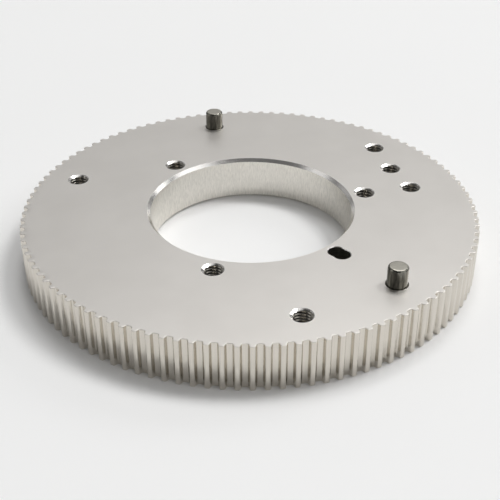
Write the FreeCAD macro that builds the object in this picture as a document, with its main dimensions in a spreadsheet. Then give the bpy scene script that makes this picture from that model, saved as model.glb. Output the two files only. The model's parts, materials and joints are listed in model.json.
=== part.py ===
"""Timing belt pulley ring: a flangeless MXL toothed ring with two pressed-in dowel pins.

Millimetres, +Z up along the bore axis, origin on that axis in the bottom face.  +X runs through
the first inner and the first middle tapped hole; every other hole is placed by its angle from +X.
"""
import FreeCAD, Part
import Sketcher
import math
import os

os.makedirs("parts", exist_ok=True)
doc = FreeCAD.newDocument("timing_belt_pulley")

# ---------------------------------------------------------------- driving dimensions
# Cell name, value in millimetres or degrees or a plain count, and what it is.
DIMENSIONS = [
    ("tooth_count", "112", "belt grooves round the rim"),
    ("belt_pitch", "2.032", "MXL belt pitch, 0.080 inch"),
    ("pitch_line_offset", "0.254", "belt pitch line above the tooth tips"),
    ("groove_depth", "0.69", "tooth tip to groove floor"),
    ("groove_floor", "0.84", "width of the groove floor, corner to corner"),
    ("flank_angle", "20", "slope of one groove flank"),
    ("root_radius", "0.25", "fillet between the groove floor and a flank"),
    ("ring_height", "7.4", "bottom face to top face"),
    ("bore_dia", "32", "through bore"),
    ("bore_chamfer", "0.5", "45 degree chamfer at both ends of the bore"),
    ("tap_count", "3", "tapped holes on the inner circle, and on the outer circle"),
    ("tap_drill", "2.5", "minor diameter of an M3 tapped hole"),
    ("tap_mouth", "3.4", "countersink at both ends of a tapped hole"),
    ("tap_sink", "120", "angle across that countersink, as a spotting drill leaves it"),
    ("inner_circle", "38", "pitch circle of the three inner tapped holes and the slot"),
    ("middle_circle", "54", "pitch circle of the pair of tapped holes"),
    ("outer_circle", "60", "pitch circle of the three outer tapped holes and the pins"),
    ("pair_angle", "15", "angle between the two tapped holes of the pair"),
    ("outer_start", "30", "angle of the first outer tapped hole"),
    ("slot_angle", "300", "angle of the slot"),
    ("slot_drill", "2.7", "diameter of the two holes that run together as the slot"),
    ("slot_step", "1.0", "distance between those two holes, along the radius"),
    ("pin_dia", "3", "dowel pin and the hole that it is pressed into"),
    ("pin_length", "10", "dowel pin, end to end"),
    ("pin_rise", "3", "pin above the top face"),
    ("pin_chamfer", "0.2", "chamfer on both ends of a pin"),
    ("pin_mouth", "3.4", "countersink at the mouth of a pin hole"),
    ("pin_sink", "90", "angle across that countersink"),
    ("pin_a_angle", "90", "angle of dowel pin a"),
    ("pin_b_angle", "300", "angle of dowel pin b"),
]
# Worked out from the rows above, in the same sheet.
DERIVED = [
    ("tip_radius", "=tooth_count * belt_pitch / pi / 2 - pitch_line_offset", "tooth tips"),
    ("half_pitch", "=180 / tooth_count", "angle from a tooth to the next groove"),
    ("pin_seat", "=ring_height + pin_rise - pin_length", "lower end of a pin"),
]

# How closely an edge has to match to be picked, and the least volume that a cut must take away.
EDGE_MATCH = 1e-4
LEAST_CUT = 0.01

sheet = doc.addObject("Spreadsheet::Sheet", "dims")
for row, (name, value, note) in enumerate(DIMENSIONS + DERIVED, start=1):
    sheet.set("A%d" % row, name)
    sheet.set("B%d" % row, value)
    sheet.set("C%d" % row, note)
    sheet.setAlias("B%d" % row, name)
doc.recompute()


def cell(name):
    return float(sheet.get(name))


# ---------------------------------------------------------------- bodies and sketches
def new_body(label):
    body = doc.addObject("PartDesign::Body", label)
    body.Label = label
    return body


def origin_feature(body, role):
    """A plane or an axis of a body's own origin, found by its role."""
    for feature in body.Origin.OriginFeatures:
        if feature.Role == role:
            return feature
    raise RuntimeError("%s has no %s" % (body.Label, role))


def new_sketch(body, name, plane):
    sketch = body.newObject("Sketcher::SketchObject", name)
    sketch.AttachmentSupport = [(origin_feature(body, plane), "")]
    sketch.MapMode = "FlatFace"
    return sketch


def top_sketch(body, name, angle_cell=None):
    """A sketch in the ring's top face, its own X axis turned to the angle held in a cell."""
    sketch = new_sketch(body, name, "XY_Plane")
    turn = 0 if angle_cell is None else cell(angle_cell)
    rotation = FreeCAD.Rotation(FreeCAD.Vector(0, 0, 1), turn)
    sketch.AttachmentOffset = FreeCAD.Placement(FreeCAD.Vector(0, 0, cell("ring_height")), rotation)
    sketch.setExpression("AttachmentOffset.Base.z", "dims.ring_height")
    if angle_cell is not None:
        sketch.setExpression("AttachmentOffset.Rotation.Angle", "dims.%s * 1 deg" % angle_cell)
    return sketch


def drive(sketch, kind, formula, value, *where):
    """A dimension of a sketch, bound to the sheet."""
    index = sketch.addConstraint(Sketcher.Constraint(kind, *where, value))
    sketch.setExpression("Constraints[%d]" % index, formula)


def closed_outline(sketch, corners):
    """Straight lines from corner to corner and back; line i starts at corner i."""
    lines = []
    for i, corner in enumerate(corners):
        following = corners[(i + 1) % len(corners)]
        segment = Part.LineSegment(FreeCAD.Vector(*corner, 0), FreeCAD.Vector(*following, 0))
        lines.append(sketch.addGeometry(segment, False))
    for i, line in enumerate(lines):
        following = lines[(i + 1) % len(lines)]
        sketch.addConstraint(Sketcher.Constraint("Coincident", line, 2, following, 1))
    return lines


def outline_of_revolution(sketch, corners):
    """A closed outline whose corners are given as (x, x formula, z, z formula)."""
    lines = closed_outline(sketch, [(x, z) for x, _, z, _ in corners])
    for line, (x, x_formula, z, z_formula) in zip(lines, corners):
        for kind, axis, value, formula in (
            ("DistanceX", -2, x, x_formula),
            ("DistanceY", -1, z, z_formula),
        ):
            if formula is None:
                sketch.addConstraint(Sketcher.Constraint("PointOnObject", line, 1, axis))
            else:
                drive(sketch, kind, formula, value, -1, 1, line, 1)


def circle_on_x(sketch, distance, distance_formula, diameter_cell):
    """A circle centred on the sketch's X axis, at a driven distance from the bore axis."""
    radius = cell(diameter_cell) / 2
    shape = Part.Circle(FreeCAD.Vector(distance, 0, 0), FreeCAD.Vector(0, 0, 1), radius)
    circle = sketch.addGeometry(shape, False)
    sketch.addConstraint(Sketcher.Constraint("PointOnObject", circle, 3, -1))
    drive(sketch, "DistanceX", distance_formula, distance, -1, 1, circle, 3)
    drive(sketch, "Diameter", "dims.%s" % diameter_cell, 2 * radius, circle)


# ---------------------------------------------------------------- features
def checked_cut(body, volume_before):
    """Recompute, and refuse a cut that took nothing away."""
    doc.recompute()
    if body.Shape.Volume > volume_before - LEAST_CUT:
        raise RuntimeError("a cut in %s removed nothing" % body.Label)


def revolve(body, sketch, name):
    feature = body.newObject("PartDesign::Revolution", name)
    feature.Profile = sketch
    feature.ReferenceAxis = (sketch, ["V_Axis"])
    feature.Angle = 360
    doc.recompute()


def pocket_through(body, sketch, name):
    """A cut from the top face down through the ring."""
    before = body.Shape.Volume
    feature = body.newObject("PartDesign::Pocket", name)
    feature.Profile = sketch
    feature.Type = "ThroughAll"
    checked_cut(body, before)
    return feature


def drilled(body, name, kind, circle_cell, drill_cell, angle_cell=None):
    """A countersunk through hole, of the kind "tap" or "pin", on a pitch circle at a cell's angle."""
    sketch = top_sketch(body, name + "_centre", angle_cell)
    circle_on_x(sketch, cell(circle_cell) / 2, "dims.%s / 2" % circle_cell, drill_cell)
    doc.recompute()
    before = body.Shape.Volume
    hole = body.newObject("PartDesign::Hole", name)
    hole.Profile = sketch
    doc.recompute()
    hole.DepthType = "ThroughAll"
    hole.setExpression("Diameter", "dims.%s" % drill_cell)
    hole.HoleCutType = "Countersink"
    hole.HoleCutCustomValues = True
    hole.setExpression("HoleCutDiameter", "dims.%s_mouth" % kind)
    hole.setExpression("HoleCutCountersinkAngle", "dims.%s_sink * 1 deg" % kind)
    checked_cut(body, before)
    return hole


def repeat_round(body, feature, name, count_cell):
    """One feature repeated evenly round the bore axis, as often as a cell says."""
    before = body.Shape.Volume
    pattern = body.newObject("PartDesign::PolarPattern", name)
    pattern.Originals = [feature]
    pattern.Axis = (origin_feature(body, "Z_Axis"), [""])
    pattern.Angle = 360
    pattern.setExpression("Occurrences", "dims.%s" % count_cell)
    body.Tip = pattern
    checked_cut(body, before)


def countersink_below(body, name):
    """The same countersink at the lower end of every tapped hole."""
    drill = cell("tap_drill") / 2
    edges = []
    for number, edge in enumerate(body.Shape.Edges, start=1):
        if not isinstance(edge.Curve, Part.Circle):
            continue
        same_size = abs(edge.Curve.Radius - drill) < EDGE_MATCH
        in_bottom_face = abs(edge.BoundBox.ZMax) < EDGE_MATCH
        if same_size and in_bottom_face:
            edges.append("Edge%d" % number)
    before = body.Shape.Volume
    drilled_ring = body.Tip
    chamfer = body.newObject("PartDesign::Chamfer", name)
    chamfer.Base = (drilled_ring, edges)
    chamfer.ChamferType = "Two distances"
    chamfer.setExpression("Size", "(dims.tap_mouth - dims.tap_drill) / 2")
    chamfer.setExpression("Size2", "(dims.tap_mouth - dims.tap_drill) / 2 / tan(dims.tap_sink / 2 * 1 deg)")
    body.Tip = chamfer
    checked_cut(body, before)


# ---------------------------------------------------------------- pulley_ring
def groove_sketch(body):
    """One belt groove: a flat floor, two sloping flanks and a fillet at each floor corner."""
    tip = cell("tip_radius")
    depth = cell("groove_depth")
    half_floor = cell("groove_floor") / 2
    slope = math.tan(math.radians(cell("flank_angle")))
    floor_x = tip - depth
    mouth_x = tip + depth
    half_mouth = half_floor + 2 * depth * slope

    sketch = top_sketch(body, "groove_outline", "half_pitch")
    corners = [
        (floor_x, -half_floor),
        (mouth_x, -half_mouth),
        (mouth_x, half_mouth),
        (floor_x, half_floor),
    ]
    lower_flank, mouth, upper_flank, floor = closed_outline(sketch, corners)
    sketch.addConstraint(Sketcher.Constraint("Symmetric", mouth, 1, mouth, 2, -1))
    sketch.addConstraint(Sketcher.Constraint("Symmetric", floor, 1, floor, 2, -1))
    drive(sketch, "DistanceX", "dims.tip_radius - dims.groove_depth", floor_x, -1, 1, floor, 1)
    drive(sketch, "DistanceX", "dims.tip_radius + dims.groove_depth", mouth_x, -1, 1, mouth, 1)
    drive(sketch, "DistanceY", "dims.groove_floor", 2 * half_floor, floor, 2, floor, 1)
    mouth_formula = "dims.groove_floor + 4 * dims.groove_depth * tan(dims.flank_angle * 1 deg)"
    drive(sketch, "DistanceY", mouth_formula, 2 * half_mouth, mouth, 1, mouth, 2)
    doc.recompute()

    # The floor corners stay as driven points, and each gets a fillet of the driven radius.
    radius = cell("root_radius")
    for flank, side in ((lower_flank, -1), (upper_flank, 1)):
        on_floor = FreeCAD.Vector(floor_x, side * half_floor / 2, 0)
        on_flank = FreeCAD.Vector(tip, side * (half_floor + depth * slope), 0)
        arc = sketch.GeometryCount
        sketch.fillet(floor, flank, on_floor, on_flank, radius, True, True)
        drive(sketch, "Radius", "dims.root_radius", radius, arc)
    return sketch


def pulley_ring():
    body = new_body("pulley_ring")
    tip = cell("tip_radius")
    bore = cell("bore_dia") / 2
    edge = cell("bore_chamfer")
    height = cell("ring_height")

    # The turned blank: its cross-section, with both bore chamfers.
    section = new_sketch(body, "ring_section", "XZ_Plane")
    outline_of_revolution(section, [
        (tip, "dims.tip_radius", 0, None),
        (tip, "dims.tip_radius", height, "dims.ring_height"),
        (bore + edge, "dims.bore_dia / 2 + dims.bore_chamfer", height, "dims.ring_height"),
        (bore, "dims.bore_dia / 2", height - edge, "dims.ring_height - dims.bore_chamfer"),
        (bore, "dims.bore_dia / 2", edge, "dims.bore_chamfer"),
        (bore + edge, "dims.bore_dia / 2 + dims.bore_chamfer", 0, None),
    ])
    revolve(body, section, "turned_blank")

    # Eight M3 tapped holes: three on the inner circle, three on the outer circle and a pair.
    inner = drilled(body, "inner_tap", "tap", "inner_circle", "tap_drill")
    repeat_round(body, inner, "inner_taps", "tap_count")
    outer = drilled(body, "outer_tap", "tap", "outer_circle", "tap_drill", "outer_start")
    repeat_round(body, outer, "outer_taps", "tap_count")
    drilled(body, "pair_tap_a", "tap", "middle_circle", "tap_drill")
    drilled(body, "pair_tap_b", "tap", "middle_circle", "tap_drill", "pair_angle")
    countersink_below(body, "tap_mouths_below")

    # The two plain holes that the dowel pins are pressed into.
    drilled(body, "pin_hole_a", "pin", "outer_circle", "pin_dia", "pin_a_angle")
    drilled(body, "pin_hole_b", "pin", "outer_circle", "pin_dia", "pin_b_angle")

    # The slot: two holes drilled side by side along the radius, so that they run together.
    for name, side in (("slot_near", -1), ("slot_far", 1)):
        sketch = top_sketch(body, name + "_centre", "slot_angle")
        distance = cell("inner_circle") / 2 + side * cell("slot_step") / 2
        formula = "dims.inner_circle / 2 + %d * dims.slot_step / 2" % side
        circle_on_x(sketch, distance, formula, "slot_drill")
        pocket_through(body, sketch, name)

    # The belt grooves, cut last.
    groove = pocket_through(body, groove_sketch(body), "groove")
    repeat_round(body, groove, "grooves", "tooth_count")
    return body


# ---------------------------------------------------------------- dowel pins
def dowel_pin(label, angle_cell):
    """A cylindrical dowel pin with a chamfer at both ends, standing up out of the top face."""
    body = new_body(label)
    radius = cell("pin_dia") / 2
    length = cell("pin_length")
    edge = cell("pin_chamfer")
    section = new_sketch(body, label + "_section", "XZ_Plane")
    outline_of_revolution(section, [
        (0, None, 0, None),
        (radius - edge, "dims.pin_dia / 2 - dims.pin_chamfer", 0, None),
        (radius, "dims.pin_dia / 2", edge, "dims.pin_chamfer"),
        (radius, "dims.pin_dia / 2", length - edge, "dims.pin_length - dims.pin_chamfer"),
        (radius - edge, "dims.pin_dia / 2 - dims.pin_chamfer", length, "dims.pin_length"),
        (0, None, length, "dims.pin_length"),
    ])
    revolve(body, section, label + "_turned")
    body.setExpression("Placement.Base.x", "dims.outer_circle / 2 * cos(dims.%s * 1 deg)" % angle_cell)
    body.setExpression("Placement.Base.y", "dims.outer_circle / 2 * sin(dims.%s * 1 deg)" % angle_cell)
    body.setExpression("Placement.Base.z", "dims.pin_seat")
    return body


sub_parts = [
    pulley_ring(),
    dowel_pin("dowel_pin_a", "pin_a_angle"),
    dowel_pin("dowel_pin_b", "pin_b_angle"),
]
doc.recompute()

# ---------------------------------------------------------------- checks and export
for item in doc.Objects:
    if "Invalid" in item.State or "Error" in item.State:
        raise RuntimeError("%s did not build: %s" % (item.Label, item.State))
for body in sub_parts:
    shape = body.Shape
    if shape.isNull() or not shape.isValid() or len(shape.Solids) != 1:
        raise RuntimeError("%s is not one valid solid" % body.Label)
for body in sub_parts:
    body.Shape.exportStep("parts/%s.step" % body.Label)
    box = body.Shape.BoundBox
    print("%s: %.2f mm3, %.2f to %.2f mm high" % (body.Label, body.Shape.Volume, box.ZMin, box.ZMax))
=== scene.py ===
"""Looks of the timing belt pulley: a toothed aluminium ring with M3 threads and two dowel pins.

Everything is in metres, in the row frame: +Z up the bore axis, origin in the bottom face.
"""
import json
import math

import bmesh
import bpy
import numpy as np
from mathutils import Matrix, Vector, geometry, kdtree


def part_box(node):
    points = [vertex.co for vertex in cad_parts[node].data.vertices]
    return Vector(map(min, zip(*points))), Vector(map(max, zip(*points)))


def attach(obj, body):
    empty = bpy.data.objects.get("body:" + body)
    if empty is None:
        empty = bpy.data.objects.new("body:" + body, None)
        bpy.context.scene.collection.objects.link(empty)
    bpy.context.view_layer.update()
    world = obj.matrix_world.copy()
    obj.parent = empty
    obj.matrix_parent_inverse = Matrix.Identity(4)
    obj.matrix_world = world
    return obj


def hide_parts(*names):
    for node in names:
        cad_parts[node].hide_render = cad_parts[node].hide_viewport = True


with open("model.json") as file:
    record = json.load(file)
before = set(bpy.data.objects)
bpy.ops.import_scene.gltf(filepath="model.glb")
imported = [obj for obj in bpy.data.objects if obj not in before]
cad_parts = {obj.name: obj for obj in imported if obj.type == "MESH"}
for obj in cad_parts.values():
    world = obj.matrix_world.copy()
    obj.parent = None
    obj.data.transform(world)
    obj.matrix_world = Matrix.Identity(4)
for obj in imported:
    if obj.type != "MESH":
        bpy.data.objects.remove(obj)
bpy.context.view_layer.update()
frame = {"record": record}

MM = 0.001
TURN = 2 * math.pi

# ---------------------------------------------------------------- sizes read from the frame
record = frame["record"]
mounts = {mount["name"]: mount for mount in record["mounts"]}
ring_low, ring_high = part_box("pulley_ring")
HEIGHT = ring_high.z - ring_low.z
TIP_RADIUS = (ring_high.x - ring_low.x) / 2
BORE_RADIUS = mounts["bore"]["dims"]["r_mm"] * MM
BORE_CHAMFER = (HEIGHT - mounts["bore"]["dims"]["length_mm"] * MM) / 2
TAP_MINOR = mounts["inner_tap_a"]["dims"]["r_mm"] * MM
OUTER_TAPS = mounts["outer_taps"]["dims"]
PIN_RADIUS = (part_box("dowel_pin_a")[1].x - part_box("dowel_pin_a")[0].x) / 2

# Sizes that the frame doesn't state.
TEETH = 112
GROOVE_DEPTH = 0.69 * MM
GROOVE_FLOOR = 0.84 * MM
FLANK_ANGLE = math.radians(20)
ROOT_RADIUS = 0.25 * MM
TIP_ROUND = 0.22 * MM
RIM_ROUND = 0.1 * MM
TAP_MAJOR = 1.5 * MM
TAP_MOUTH = 1.7 * MM
TAP_SINK = math.radians(120)
THREAD_PITCH = 0.5 * MM
THREAD_START = 0.87
CREST_BREAK = 0.07 * MM
OUTER_START = math.radians(30)
SLOT_DRILL = 1.35 * MM
SLOT_HALF_STEP = 0.5 * MM
SLOT_BREAK = 0.09 * MM
PIN_MOUTH = 1.7 * MM
PIN_CHAMFER = 0.2 * MM
PIN_ROUND = 0.05 * MM

# A pin's hole is drawn this much wider than the pin, so that their walls don't coincide.
PIN_HOLE_RATIO = 1.002

# Facets: enough that no outline shows corners at this size.
BORE_SIDES = TEETH * 3
HOLE_SIDES = 48
PIN_SIDES = 64
ARC_STEPS = 4

# The flat faces' inner points: their spacing, and how near they come to an edge.
POINT_SPACING = 1.5 * MM
POINT_MARGIN = 0.7 * MM

# Corners of a piece, and points of a flat face's triangulation, that are nearer than this are one.
SAME_CORNER = 1e-7
SAME_POINT = 1e-9

# Edges that turn by more than this are drawn sharp.
RING_SHARP = math.radians(26)
PIN_SHARP = math.radians(30)


def on_circle(radius, angle):
    return Vector((radius * math.cos(angle), radius * math.sin(angle)))


def flat(point):
    return Vector((point[0], point[1]))


# ---------------------------------------------------------------- mesh helpers
class Shell:
    """Corners and faces of one piece, gathered in the row frame."""

    def __init__(self):
        self.corners = []
        self.faces = []
        self.looks = []
        self.smooth = []

    def corner(self, point, z):
        self.corners.append((point[0], point[1], z))
        return len(self.corners) - 1

    def loop(self, points, z):
        return [self.corner(point, z) for point in points]

    def face(self, corners, look, smooth=True):
        self.faces.append(corners)
        self.looks.append(look)
        self.smooth.append(smooth)

    def wall(self, lower, upper, look):
        """Quads between two closed loops of the same length."""
        count = len(lower)
        for i in range(count):
            following = (i + 1) % count
            self.face((lower[i], lower[following], upper[following], upper[i]), look)

    def plane(self, outline, holes, z, look):
        """A flat face inside an outline, with holes: a triangulation with inner points."""
        loops = [outline] + holes
        used = [index for loop in loops for index in loop]
        edges = []
        for loop in loops:
            start = len(edges)
            edges += [(start + i, start + (i + 1) % len(loop)) for i in range(len(loop))]
        rim = [flat(self.corners[index]) for index in used]
        hole_rims = [[flat(self.corners[index]) for index in loop] for loop in holes]
        points = rim + inner_points(rim, hole_rims)
        found = geometry.delaunay_2d_cdt(points, edges, [], 0, SAME_POINT)
        places, triangles, sources = found[0], found[2], found[3]
        index_of = []
        for place, source in zip(places, sources):
            known = [i for i in source if i < len(used)]
            index_of.append(used[known[0]] if known else self.corner(place, z))
        for triangle, inside in zip(triangles, between(rim, edges, places, triangles)):
            if inside:
                self.face(tuple(index_of[i] for i in triangle), look, smooth=False)

    def build(self, name, materials, smooth_angle):
        mesh = bpy.data.meshes.new(name)
        mesh.from_pydata(self.corners, [], self.faces)
        mesh.polygons.foreach_set("material_index", self.looks)
        work = bmesh.new()
        work.from_mesh(mesh)
        bmesh.ops.remove_doubles(work, verts=work.verts, dist=SAME_CORNER)
        bmesh.ops.recalc_face_normals(work, faces=work.faces)
        work.to_mesh(mesh)
        work.free()
        mesh.set_sharp_from_angle(angle=smooth_angle)
        mesh.polygons.foreach_set("use_smooth", self.smooth)
        for material in materials:
            mesh.materials.append(material)
        piece = bpy.data.objects.new(name, mesh)
        bpy.context.scene.collection.objects.link(piece)
        return piece


def inner_points(rim, holes):
    """Points on circles about the bore axis, kept clear of the rim and outside the holes."""
    near_rim = kdtree.KDTree(len(rim))
    for i, point in enumerate(rim):
        near_rim.insert((point.x, point.y, 0), i)
    near_rim.balance()
    discs = []
    for hole in holes:
        centre = sum(hole, Vector((0, 0))) / len(hole)
        discs.append((centre, max((point - centre).length for point in hole)))
    points = []
    radius = BORE_RADIUS + BORE_CHAMFER + POINT_SPACING
    while radius < TIP_RADIUS - GROOVE_DEPTH - POINT_MARGIN:
        count = int(TURN * radius / POINT_SPACING)
        for i in range(count):
            point = on_circle(radius, TURN * i / count)
            covered = any((point - centre).length < reach for centre, reach in discs)
            if not covered and near_rim.find((point.x, point.y, 0))[2] > POINT_MARGIN:
                points.append(point)
        radius += POINT_SPACING
    return points


def between(rim, edges, places, triangles):
    """For each triangle, whether its middle lies inside the outline and outside every hole."""
    place = np.array([tuple(p) for p in places])
    middle = place[np.array(triangles)].mean(axis=1)
    corner = np.array([tuple(p) for p in rim])
    first, second = corner[np.array(edges)[:, 0]], corner[np.array(edges)[:, 1]]
    crossings = np.zeros(len(middle), int)
    for a, b in zip(first, second):
        spans = (a[1] > middle[:, 1]) != (b[1] > middle[:, 1])
        if a[1] != b[1]:
            x = a[0] + (middle[:, 1] - a[1]) * (b[0] - a[0]) / (b[1] - a[1])
            crossings += spans & (x > middle[:, 0])
    return crossings % 2 == 1


# ---------------------------------------------------------------- tooth outline
def half_groove():
    """From the groove floor's middle to the land's middle: (place, outward direction) pairs.

    The groove lies along +X, and the half drawn is the one at +Y.
    """
    floor_x = TIP_RADIUS - GROOVE_DEPTH
    corner = Vector((floor_x, GROOVE_FLOOR / 2))
    along_flank = Vector((math.cos(FLANK_ANGLE), math.sin(FLANK_ANGLE)))
    into_tooth = Vector((-math.sin(FLANK_ANGLE), math.cos(FLANK_ANGLE)))

    steps = [(Vector((floor_x, 0)), Vector((1, 0)))]
    tangent = ROOT_RADIUS / math.tan(math.radians(45) + FLANK_ANGLE / 2)
    root = Vector((floor_x + ROOT_RADIUS, corner.y - tangent))
    first, last = math.pi, math.pi / 2 + FLANK_ANGLE
    for i in range(ARC_STEPS + 1):
        direction = on_circle(1, first + (last - first) * i / ARC_STEPS)
        steps.append((root + direction * ROOT_RADIUS, -direction))

    # The tip rounding touches the flank and the tip circle.
    start = corner + into_tooth * TIP_ROUND
    reach = TIP_RADIUS - TIP_ROUND
    forward = start.dot(along_flank)
    travel = -forward + math.sqrt(forward ** 2 - start.length_squared + reach ** 2)
    tip = start + along_flank * travel
    first = FLANK_ANGLE - math.pi / 2
    last = math.atan2(tip.y, tip.x)
    for i in range(ARC_STEPS + 1):
        direction = on_circle(1, first + (last - first) * i / ARC_STEPS)
        steps.append((tip + direction * TIP_ROUND, direction))

    land_end = math.pi / TEETH
    for i in (1, 2):
        angle = last + (land_end - last) * i / 2
        steps.append((on_circle(TIP_RADIUS, angle), on_circle(1, angle)))
    return steps


def tooth_outline(inset):
    """The whole toothed outline, drawn in by an inset, counter-clockwise; a land lies on +X."""
    half = half_groove()
    upper = half[1:-1]
    lower = [(Vector((p.x, -p.y)), Vector((n.x, -n.y))) for p, n in reversed(half)]
    points = []
    for k in range(TEETH):
        turn = Matrix.Rotation((k + 0.5) * TURN / TEETH, 2)
        for place, outward in lower + upper:
            points.append(turn @ (place - outward * inset))
    return points


# ---------------------------------------------------------------- holes
def circle_points(centre, radius, sides):
    return [centre + on_circle(radius, TURN * i / sides) for i in range(sides)]


def thread_profile():
    """One pitch of an internal M3 thread: (share of the pitch, radius)."""
    middle = (TAP_MINOR + TAP_MAJOR) / 2
    return [
        (0.0, TAP_MINOR),
        (0.1, TAP_MINOR),
        (0.17, TAP_MINOR),
        (0.31, TAP_MINOR + CREST_BREAK),
        (0.52, TAP_MAJOR),
        (0.6, TAP_MAJOR),
        (0.68, TAP_MAJOR),
        (0.84, middle),
    ]


def tapped_hole(shell, centre, thread_look, mouth_look):
    """A right-hand threaded wall, countersunk at both ends; returns its lower and upper loops.

    The thread's rows run on past both faces, and the rows past a face fall together on the rim
    of its countersink.
    """
    lower = shell.loop(circle_points(centre, TAP_MOUTH, HOLE_SIDES), 0)
    upper = shell.loop(circle_points(centre, TAP_MOUTH, HOLE_SIDES), HEIGHT)
    profile = thread_profile()
    per_turn = len(profile)
    turns = math.ceil(HEIGHT / THREAD_PITCH) + 2
    columns = []
    cut = []
    for i in range(HOLE_SIDES):
        column = []
        for row in range(turns * per_turn + 1):
            share, radius = profile[row % per_turn]
            lead = row // per_turn + share + i / HOLE_SIDES + THREAD_START - 1
            z = min(max(lead * THREAD_PITCH - THREAD_PITCH, 0), HEIGHT)
            cone = TAP_MOUTH - min(z, HEIGHT - z) * math.tan(TAP_SINK / 2)
            place = centre + on_circle(max(radius, cone), TURN * i / HOLE_SIDES)
            column.append(shell.corner(place, z))
            cut.append(cone >= radius)
        columns.append(column)
    rows = turns * per_turn + 1
    for i in range(HOLE_SIDES):
        following = (i + 1) % HOLE_SIDES
        slip = per_turn if following == 0 else 0
        for row in range(rows - 1 - slip):
            corners = (
                columns[i][row],
                columns[following][row + slip],
                columns[following][row + slip + 1],
                columns[i][row + 1],
            )
            on_cone = cut[i * rows + row] and cut[i * rows + row + 1]
            shell.face(corners, mouth_look if on_cone else thread_look)
    return lower, upper


def plain_hole(shell, outline, mouth, depth, wall_look, mouth_look):
    """A straight wall that widens to a mouth over that depth at the top; returns its end loops."""
    lower = shell.loop(outline, 0)
    neck = shell.loop(outline, HEIGHT - depth)
    upper = shell.loop(mouth, HEIGHT)
    shell.wall(lower, neck, wall_look)
    shell.wall(neck, upper, mouth_look)
    return lower, upper


def slot_outline(centre, radial, radius):
    """Two drilled circles that run together along the radius, as one outline."""
    across = math.acos(SLOT_HALF_STEP / radius)
    heading = math.atan2(radial.y, radial.x)
    steps = HOLE_SIDES // 2
    points = []
    for side in (0, 1):
        middle = centre + radial * (SLOT_HALF_STEP if side == 0 else -SLOT_HALF_STEP)
        first = heading + side * math.pi - (math.pi - across)
        sweep = 2 * (math.pi - across)
        for i in range(steps):
            points.append(middle + on_circle(radius, first + sweep * i / steps))
    return points


# ---------------------------------------------------------------- pulley ring
FACE, RIM, EDGE, BORE, BRIGHT, THREAD, DRILLED = range(7)


def mount_point(name):
    return flat(mounts[name]["pos_m"])


def build_ring(materials):
    shell = Shell()

    # Toothed rim, its ends rounded over.
    levels = []
    for i in range(ARC_STEPS + 1):
        angle = math.pi / 2 * i / ARC_STEPS
        levels.append((RIM_ROUND * (1 - math.cos(angle)), RIM_ROUND * (1 - math.sin(angle))))
    levels += [(HEIGHT - z, inset) for z, inset in reversed(levels)]
    rims = [shell.loop(tooth_outline(inset), z) for z, inset in levels]
    for i, (lower, upper) in enumerate(zip(rims, rims[1:])):
        shell.wall(lower, upper, RIM if i == ARC_STEPS else EDGE)

    # Bore, chamfered at both ends.
    wide = BORE_RADIUS + BORE_CHAMFER
    levels = [
        (0, wide),
        (BORE_CHAMFER, BORE_RADIUS),
        (HEIGHT - BORE_CHAMFER, BORE_RADIUS),
        (HEIGHT, wide),
    ]
    centre = Vector((0, 0))
    bores = [shell.loop(circle_points(centre, radius, BORE_SIDES), z) for z, radius in levels]
    shell.wall(bores[0], bores[1], BRIGHT)
    shell.wall(bores[1], bores[2], BORE)
    shell.wall(bores[2], bores[3], BRIGHT)

    ends = [(bores[0], bores[3])]

    # Tapped holes.
    centres = [mount_point(name) for name in sorted(mounts) if "_tap_" in name]
    outer_radius = OUTER_TAPS["pcd_mm"] * MM / 2
    count = OUTER_TAPS["count"]
    centres += [on_circle(outer_radius, OUTER_START + TURN * i / count) for i in range(count)]
    for place in centres:
        ends.append(tapped_hole(shell, place, THREAD, BRIGHT))

    # Pin holes, with a small mouth round each pin.
    for name in ("dowel_pin_a", "dowel_pin_b"):
        low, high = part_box(name)
        place = flat((low + high) / 2)
        wall = circle_points(place, PIN_RADIUS * PIN_HOLE_RATIO, HOLE_SIDES)
        mouth = circle_points(place, PIN_MOUTH, HOLE_SIDES)
        ends.append(plain_hole(shell, wall, mouth, PIN_MOUTH - PIN_RADIUS, DRILLED, BRIGHT))

    # Slot, its edge just broken.
    place = mount_point("slot")
    radial = place.normalized()
    wall = slot_outline(place, radial, SLOT_DRILL)
    mouth = slot_outline(place, radial, SLOT_DRILL + SLOT_BREAK)
    ends.append(plain_hole(shell, wall, mouth, SLOT_BREAK, DRILLED, BRIGHT))

    shell.plane(rims[0], [lower for lower, _ in ends], 0, FACE)
    shell.plane(rims[-1], [upper for _, upper in ends], HEIGHT, FACE)
    return shell.build("pulley_ring_detail", materials, RING_SHARP)


# ---------------------------------------------------------------- dowel pins
SKIN, END = range(2)


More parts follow.
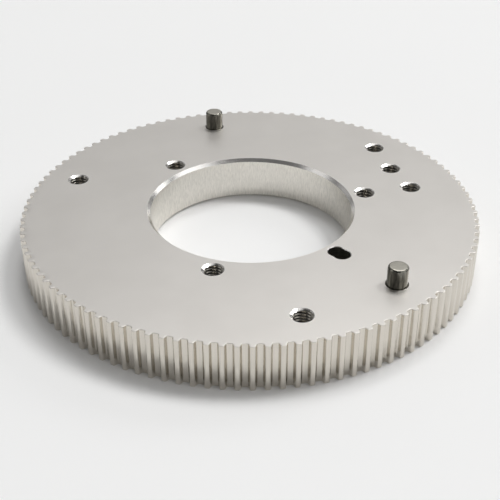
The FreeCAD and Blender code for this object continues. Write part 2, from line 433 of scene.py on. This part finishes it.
def build_pin(node, materials):
    """A ground dowel pin: its chamfers run into the barrel through a small rounding."""
    low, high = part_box(node)
    centre = flat((low + high) / 2)
    shell = Shell()
    half = [
        (PIN_RADIUS * 0.3, 0),
        (PIN_RADIUS * 0.55, 0),
        (PIN_RADIUS - PIN_CHAMFER - PIN_ROUND, 0),
        (PIN_RADIUS - PIN_CHAMFER, PIN_ROUND * 0.4),
        (PIN_RADIUS - PIN_ROUND * 1.4, PIN_CHAMFER - PIN_ROUND),
        (PIN_RADIUS - PIN_ROUND * 0.3, PIN_CHAMFER + PIN_ROUND * 0.3),
        (PIN_RADIUS, PIN_CHAMFER + PIN_ROUND * 2),
    ]
    levels = [(radius, low.z + rise) for radius, rise in half]
    levels += [(radius, high.z - rise) for radius, rise in reversed(half)]
    loops = [shell.loop(circle_points(centre, radius, PIN_SIDES), z) for radius, z in levels]
    walls = list(zip(loops, loops[1:]))
    for i, (lower, upper) in enumerate(walls):
        shell.wall(lower, upper, END if i < 2 or i >= len(walls) - 2 else SKIN)
    for loop, z in ((loops[0], low.z), (loops[-1], high.z)):
        middle = shell.corner(centre, z)
        for i, corner in enumerate(loop):
            shell.face((corner, loop[(i + 1) % len(loop)], middle), END)
    return shell.build(node + "_detail", materials, PIN_SHARP)


# ---------------------------------------------------------------- materials
class Look:
    """A node material, built up from procedural textures in object space."""

    def __init__(self, name, metallic=1.0):
        self.material = bpy.data.materials.new(name)
        self.material.use_nodes = True
        self.nodes = self.material.node_tree.nodes
        self.links = self.material.node_tree.links
        self.shader = self.nodes["Principled BSDF"]
        self.shader.inputs["Metallic"].default_value = metallic
        self.place = self.nodes.new("ShaderNodeTexCoord").outputs["Object"]

    def noise(self, size, stretch=(1, 1, 1), detail=3.0, rough=0.55):
        """Noise whose features are about as long as size, in metres, times the stretch."""
        mapping = self.nodes.new("ShaderNodeMapping")
        mapping.inputs["Scale"].default_value = [1 / (size * s) for s in stretch]
        self.links.new(self.place, mapping.inputs["Vector"])
        texture = self.nodes.new("ShaderNodeTexNoise")
        texture.inputs["Scale"].default_value = 1
        texture.inputs["Detail"].default_value = detail
        texture.inputs["Roughness"].default_value = rough
        self.links.new(mapping.outputs["Vector"], texture.inputs["Vector"])
        return texture.outputs["Fac"]

    def spread(self, value, low, high, to_low, to_high):
        """Stretch a noise value from one range onto another."""
        ramp = self.nodes.new("ShaderNodeMapRange")
        ramp.inputs["From Min"].default_value = low
        ramp.inputs["From Max"].default_value = high
        ramp.inputs["To Min"].default_value = to_low
        ramp.inputs["To Max"].default_value = to_high
        self.links.new(value, ramp.inputs["Value"])
        return ramp.outputs["Result"]

    def plain_colour(self, colour):
        self.shader.inputs["Base Color"].default_value = (*colour, 1)

    def plain_roughness(self, roughness):
        self.shader.inputs["Roughness"].default_value = roughness

    def colour(self, value, first, second):
        """A colour that goes from one to another as the value goes from 0 to 1."""
        mix = self.nodes.new("ShaderNodeMix")
        mix.data_type = "RGBA"
        mix.inputs["A"].default_value = (*first, 1)
        mix.inputs["B"].default_value = (*second, 1)
        self.links.new(value, mix.inputs["Factor"])
        self.links.new(mix.outputs["Result"], self.shader.inputs["Base Color"])

    def roughness(self, value):
        self.links.new(value, self.shader.inputs["Roughness"])

    def bump(self, height, depth, below=None):
        """Relief of that depth, in metres, on top of an earlier relief."""
        bump = self.nodes.new("ShaderNodeBump")
        bump.inputs["Distance"].default_value = depth
        self.links.new(height, bump.inputs["Height"])
        if below is not None:
            self.links.new(below, bump.inputs["Normal"])
        self.links.new(bump.outputs["Normal"], self.shader.inputs["Normal"])
        return bump.outputs["Normal"]


def satin_face():
    """Blasted and clear anodised: fine even grain, faint cloudy tone."""
    look = Look("satin_face")
    cloud = look.spread(look.noise(9 * MM, detail=2.0), 0.35, 0.65, 0, 1)
    look.colour(cloud, (0.85, 0.82, 0.778), (0.88, 0.85, 0.808))
    grain = look.noise(0.16 * MM, detail=2.0)
    look.roughness(look.spread(grain, 0.3, 0.7, 0.38, 0.46))
    look.bump(grain, 0.003 * MM)
    return look.material


def tooth_rim():
    """The same finish over milled grooves, which leave faint marks along the teeth."""
    look = Look("tooth_rim")
    marks = look.noise(0.12 * MM, stretch=(1, 1, 30), detail=2.0)
    look.colour(look.spread(marks, 0.3, 0.7, 0, 1), (0.665, 0.63, 0.57), (0.735, 0.695, 0.63))
    look.roughness(look.spread(marks, 0.3, 0.7, 0.15, 0.22))
    grain = look.noise(0.15 * MM, detail=1.0)
    relief = look.bump(marks, 0.002 * MM)
    look.bump(grain, 0.002 * MM, relief)
    return look.material


def rounded_edge():
    """Where the blasting has rounded the tooth ends over: the face's grain, but duller."""
    look = Look("rounded_edge")
    look.plain_colour((0.78, 0.75, 0.71))
    grain = look.noise(0.16 * MM, detail=2.0)
    look.roughness(look.spread(grain, 0.3, 0.7, 0.56, 0.64))
    look.bump(grain, 0.002 * MM)
    return look.material


def bored_wall():
    """Bored, then blasted: short upright scratches."""
    look = Look("bored_wall")
    strokes = look.noise(0.12 * MM, stretch=(1, 1, 8), detail=3.0, rough=0.65)
    look.colour(look.spread(strokes, 0.32, 0.68, 0, 1), (0.66, 0.64, 0.59), (0.92, 0.89, 0.83))
    look.roughness(look.spread(strokes, 0.3, 0.7, 0.3, 0.46))
    look.bump(strokes, 0.006 * MM)
    return look.material


def bright_cut():
    """Bare cut metal on chamfers, countersinks and broken edges."""
    look = Look("bright_cut")
    look.plain_colour((0.88, 0.86, 0.83))
    marks = look.noise(1.2 * MM, stretch=(1, 1, 0.2), detail=1.0)
    look.roughness(look.spread(marks, 0.3, 0.7, 0.2, 0.26))
    look.bump(marks, 0.001 * MM)
    return look.material


def thread_painted_shade():
    """Tapped threads: cut metal with fine marks, darker than the chamfers because the shade inside
    the holes is painted into its colour.
    """
    look = Look("thread_painted_shade")
    look.plain_roughness(0.2)
    marks = look.noise(0.1 * MM, detail=2.0)
    # The thread's colour is kept dark as painted shade for the inside of the holes.
    look.colour(look.spread(marks, 0.3, 0.7, 0, 1), (0.28, 0.265, 0.235), (0.48, 0.455, 0.41))
    look.bump(marks, 0.002 * MM)
    return look.material


def drilled_wall():
    """Drilled and left rough, so dull; its colour is dark, with rings round the wall."""
    look = Look("drilled_wall")
    look.plain_roughness(0.36)
    rings = look.noise(0.1 * MM, stretch=(12, 12, 1), detail=2.0)
    look.colour(look.spread(rings, 0.3, 0.7, 0, 1), (0.26, 0.25, 0.22), (0.46, 0.445, 0.4))
    look.bump(rings, 0.003 * MM)
    return look.material


def pin_skin():
    """Hardened steel, dark, with lighter streaks along its length and faint grinding rings."""
    look = Look("pin_skin")
    skin = look.noise(0.35 * MM, stretch=(1, 1, 6), detail=4.0)
    look.colour(look.spread(skin, 0.35, 0.65, 0, 1), (0.09, 0.088, 0.074), (0.28, 0.27, 0.235))
    look.roughness(look.spread(skin, 0.3, 0.7, 0.13, 0.2))
    rings = look.noise(0.06 * MM, stretch=(12, 12, 1), detail=2.0)
    look.bump(rings, 0.0015 * MM)
    return look.material


def pin_end():
    """The same steel where its end is ground flat: lighter, with fine scratches across."""
    look = Look("pin_end")
    look.plain_roughness(0.34)
    scratches = look.noise(0.09 * MM, stretch=(9, 1, 1), detail=3.0)
    look.colour(look.spread(scratches, 0.3, 0.7, 0, 1), (0.55, 0.53, 0.465), (0.72, 0.69, 0.61))
    look.bump(scratches, 0.002 * MM)
    return look.material


def floor_paint():
    """Pale matt paint, slightly uneven."""
    look = Look("floor_paint", metallic=0.0)
    look.plain_colour((0.93, 0.93, 0.925))
    look.roughness(look.spread(look.noise(40 * MM), 0.3, 0.7, 0.66, 0.74))
    return look.material


# ---------------------------------------------------------------- the object
# In the order of FACE, RIM, EDGE, BORE, BRIGHT, THREAD, DRILLED, and of SKIN, END.
aluminium = [
    satin_face(),
    tooth_rim(),
    rounded_edge(),
    bored_wall(),
    bright_cut(),
    thread_painted_shade(),
    drilled_wall(),
]
steel = [pin_skin(), pin_end()]

ring = build_ring(aluminium)
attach(ring, "root")
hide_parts("pulley_ring")

for node in ("dowel_pin_a", "dowel_pin_b"):
    pin = build_pin(node, steel)
    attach(pin, "root")
    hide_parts(node)

# ---------------------------------------------------------------- studio
VIEW_AZIMUTH = math.radians(-15.1)
VIEW_ELEVATION = math.radians(32.75)
VIEW_ROLL = math.radians(0.97)
VIEW_DISTANCE = 152.5 * MM
VIEW_RIGHT = 4.57 * MM
VIEW_DOWN = 7.07 * MM
LENS = 68.84
SHIFT_X = -0.06
NEAREST_SEEN = 1 * MM
FURTHEST_SEEN = 20

FLOOR_RADIUS = 3.0
FLOOR_SIDES = 96
LIGHT_DISTANCE = 3.2

# Brightness of the surroundings, and how high the pale band reaches, as the sine of elevation.
SKY = 0.13
HORIZON = 0.9
HORIZON_TOP = 0.2

top_centre = Vector((0, 0, HEIGHT))
camera_turn = (
    Matrix.Rotation(VIEW_AZIMUTH, 3, "Z")
    @ Matrix.Rotation(math.pi / 2 - VIEW_ELEVATION, 3, "X")
    @ Matrix.Rotation(VIEW_ROLL, 3, "Z")
)
lens = bpy.data.cameras.new("camera")
lens.lens = LENS
lens.shift_x = SHIFT_X
lens.clip_start = NEAREST_SEEN
lens.clip_end = FURTHEST_SEEN
camera = bpy.data.objects.new("camera", lens)
camera.matrix_world = camera_turn.to_4x4()
camera.location = top_centre + camera_turn @ Vector((VIEW_RIGHT, -VIEW_DOWN, VIEW_DISTANCE))
bpy.context.scene.collection.objects.link(camera)
bpy.context.scene.camera = camera


def make_floor():
    """A round pale floor under the ring."""
    mesh = bpy.data.meshes.new("floor")
    rim = circle_points(Vector((0, 0)), FLOOR_RADIUS, FLOOR_SIDES)
    mesh.from_pydata([(point.x, point.y, 0) for point in rim], [], [range(FLOOR_SIDES)])
    mesh.materials.append(floor_paint())
    floor = bpy.data.objects.new("floor", mesh)
    bpy.context.scene.collection.objects.link(floor)
    return floor


def soft_light(name, azimuth, elevation, width, height, radiance):
    """An area light aimed at the ring; azimuth, in degrees, is counted from the camera's right."""
    turn = VIEW_AZIMUTH + math.radians(azimuth)
    rise = math.radians(elevation)
    level = on_circle(math.cos(rise), turn)
    direction = Vector((level.x, level.y, math.sin(rise)))
    light = bpy.data.lights.new(name, "AREA")
    light.shape = "RECTANGLE"
    light.size = width
    light.size_y = height
    light.energy = radiance * math.pi * width * height
    lamp = bpy.data.objects.new(name, light)
    lamp.location = top_centre + direction * LIGHT_DISTANCE
    lamp.rotation_mode = "QUATERNION"
    lamp.rotation_quaternion = direction.to_track_quat("Z", "Y")
    bpy.context.scene.collection.objects.link(lamp)


make_floor()
soft_light("key", 30, 58, 0.85, 0.85, 17.0)
soft_light("overhead", 60, 78, 2.0, 2.0, 0.65)
soft_light("top", 85, 68, 1.0, 1.0, 7.2)
soft_light("right", 332, 44, 4.2, 1.2, 1.15)
soft_light("low_right", 32, 22, 1.2, 0.9, 1.35)
soft_light("rear_right", 45, 34, 0.8, 0.8, 3.75)
soft_light("rear", 90, 30, 2.0, 1.6, 0.26)
soft_light("rear_left", 132, 32, 2.0, 2.0, 0.25)
soft_light("left", 180, 38, 1.4, 1.4, 0.73)


def make_world():
    """A dim studio with a pale band low down, where the floor meets the walls."""
    world = bpy.data.worlds.new("world")
    world.use_nodes = True
    nodes = world.node_tree.nodes
    links = world.node_tree.links
    direction = nodes.new("ShaderNodeTexCoord").outputs["Generated"]
    split = nodes.new("ShaderNodeSeparateXYZ")
    links.new(direction, split.inputs["Vector"])
    fade = nodes.new("ShaderNodeMapRange")
    fade.interpolation_type = "SMOOTHSTEP"
    fade.inputs["From Min"].default_value = 0
    fade.inputs["From Max"].default_value = HORIZON_TOP
    fade.inputs["To Min"].default_value = HORIZON
    fade.inputs["To Max"].default_value = SKY
    links.new(split.outputs["Z"], fade.inputs["Value"])
    backdrop = nodes["Background"]
    backdrop.inputs["Color"].default_value = (1, 1, 1, 1)
    links.new(fade.outputs["Result"], backdrop.inputs["Strength"])
    return world


bpy.context.scene.world = make_world()
bpy.context.scene.view_settings.view_transform = "Standard"
